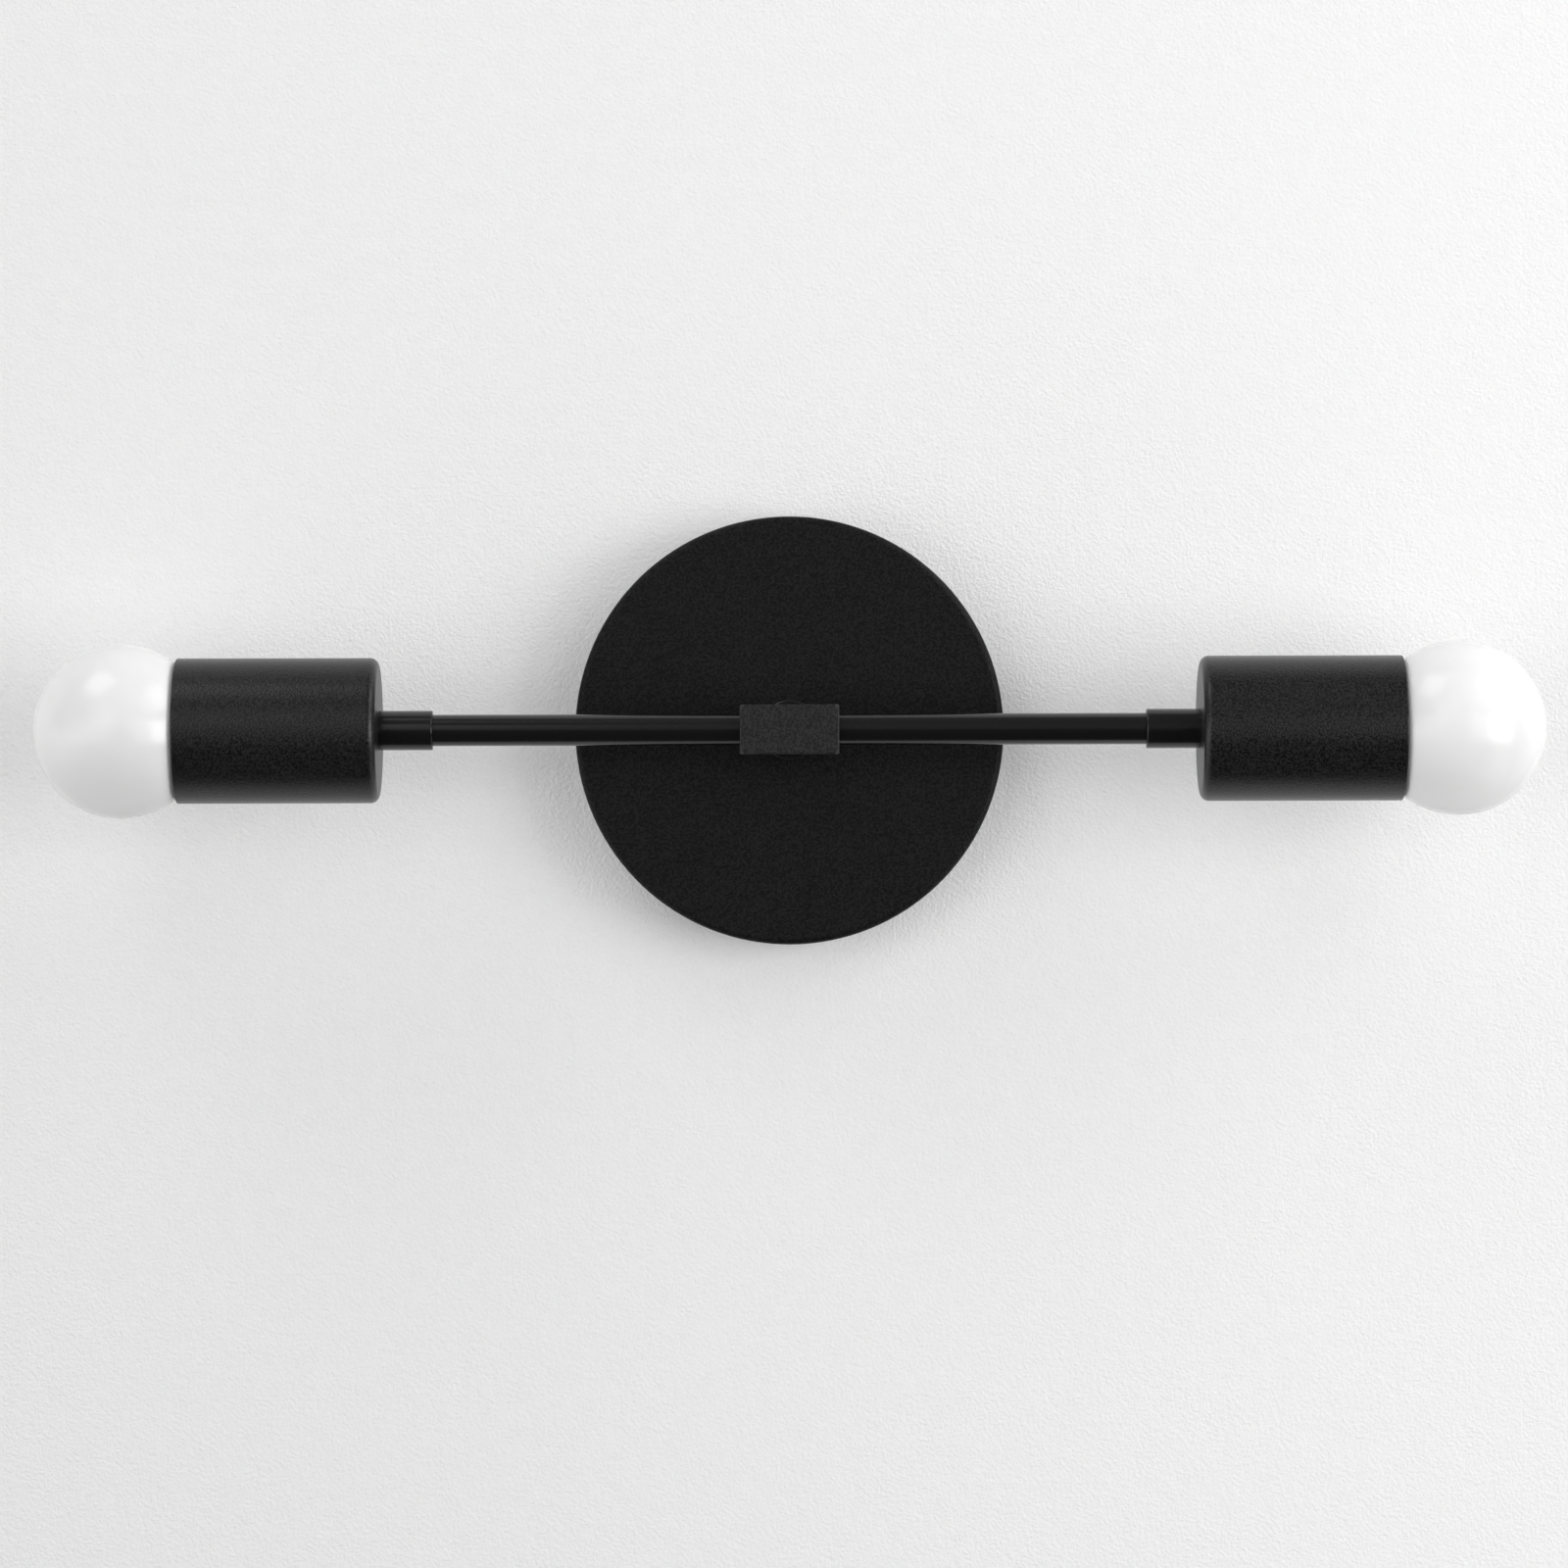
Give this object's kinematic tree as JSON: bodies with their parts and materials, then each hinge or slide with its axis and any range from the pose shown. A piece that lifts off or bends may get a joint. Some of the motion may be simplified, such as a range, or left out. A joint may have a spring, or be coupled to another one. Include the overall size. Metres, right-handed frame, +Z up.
{
  "type": "vanity light",
  "caption": "Straight wall vanity light: round canopy, short standoff, thin level arms and cylindrical socket cups holding opal globe lamps that screw out.",
  "frame": {"origin": "on the wall plane, midway between the two slots of the wall crossbar", "axes": "+X to the right along the arms, +Y into the wall, +Z up"},
  "size_m": [0.458, 0.078, 0.132],
  "materials": {
    "black_powder_coat": "fine satin powder coat",
    "black_enamel": "smooth semi-gloss enamel",
    "black_oxide": "black oxide",
    "zinc_steel": "bright zinc plate",
    "black_phenolic": "moulded phenolic",
    "shell_brass": "drawn brass",
    "contact_brass": "stamped brass",
    "opal_glass": "gloss opal white",
    "base_aluminium": "rolled aluminium",
    "base_insulator": "black moulded insulator",
    "foot_solder": "tinned contact",
    "white_board": "white solder mask",
    "green_board": "green solder mask",
    "green_screw": "green lacquer",
    "green_insulation": "extruded insulation",
    "black_insulation": "extruded insulation",
    "white_insulation": "extruded insulation",
    "connector_orange": "moulded connector"
  },
  "bodies": {
    "fixture": {"canopy": "black_powder_coat", "standoff": "black_enamel", "arm_block": "black_powder_coat", "centre_nipple": "zinc_steel", "canopy_nut": "zinc_steel", "canopy_lock_washer": "zinc_steel", "ground_tag": "contact_brass", "wall_crossbar": "zinc_steel", "canopy_set_screws": "black_oxide", "ground_screw": "green_screw", "ground_lead": "green_insulation", "live_connector": "connector_orange", "neutral_connector": "connector_orange", "right_live_lead": "black_insulation", "left_live_lead": "black_insulation", "right_neutral_lead": "white_insulation", "left_neutral_lead": "white_insulation", "left_arm": "black_enamel", "left_sleeve": "black_enamel", "left_socket_nipple": "zinc_steel", "left_cup": "black_powder_coat", "left_cup_lock_washer": "zinc_steel", "left_cup_nut": "zinc_steel", "left_socket_cap": "black_phenolic", "left_socket_body": "black_phenolic", "left_socket_screws": "zinc_steel", "left_socket_shell": "shell_brass", "left_socket_contact": "contact_brass", "left_socket_terminals": "contact_brass", "right_arm": "black_enamel", "right_sleeve": "black_enamel", "right_socket_nipple": "zinc_steel", "right_cup": "black_powder_coat", "right_cup_lock_washer": "zinc_steel", "right_cup_nut": "zinc_steel", "right_socket_cap": "black_phenolic", "right_socket_body": "black_phenolic", "right_socket_screws": "zinc_steel", "right_socket_shell": "shell_brass", "right_socket_contact": "contact_brass", "right_socket_terminals": "contact_brass"},
    "left_lamp_foot": {"left_lamp_insulator": "base_insulator", "left_lamp_foot_contact": "foot_solder"},
    "left_lamp": {"left_lamp_globe": "opal_glass", "left_lamp_base_shell": "base_aluminium", "left_lamp_led_board": "white_board", "left_lamp_driver": "green_board"},
    "right_lamp_foot": {"right_lamp_insulator": "base_insulator", "right_lamp_foot_contact": "foot_solder"},
    "right_lamp": {"right_lamp_globe": "opal_glass", "right_lamp_base_shell": "base_aluminium", "right_lamp_led_board": "white_board", "right_lamp_driver": "green_board"}
  },
  "joints": [
    {"name": "left_lamp_travel", "type": "slide", "parent": "fixture", "child": "left_lamp_foot", "axis": [-1, 0, 0], "range_m": [0, 0.01815]},
    {"name": "left_lamp_turn", "type": "hinge", "parent": "left_lamp_foot", "child": "left_lamp", "pos_m": [-0.165, -0.0515, 0], "axis": [-1, 0, 0], "range_deg": [0, 1800]},
    {"name": "right_lamp_travel", "type": "slide", "parent": "fixture", "child": "right_lamp_foot", "axis": [1, 0, 0], "range_m": [0, 0.01815]},
    {"name": "right_lamp_turn", "type": "hinge", "parent": "right_lamp_foot", "child": "right_lamp", "pos_m": [0.165, -0.0515, 0], "axis": [1, 0, 0], "range_deg": [0, 1800]}
  ],
  "couplings": [
    {"joint": "left_lamp_travel", "follows": "left_lamp_turn", "m_per_rad": 0.00057757},
    {"joint": "right_lamp_travel", "follows": "right_lamp_turn", "m_per_rad": 0.00057757}
  ]
}
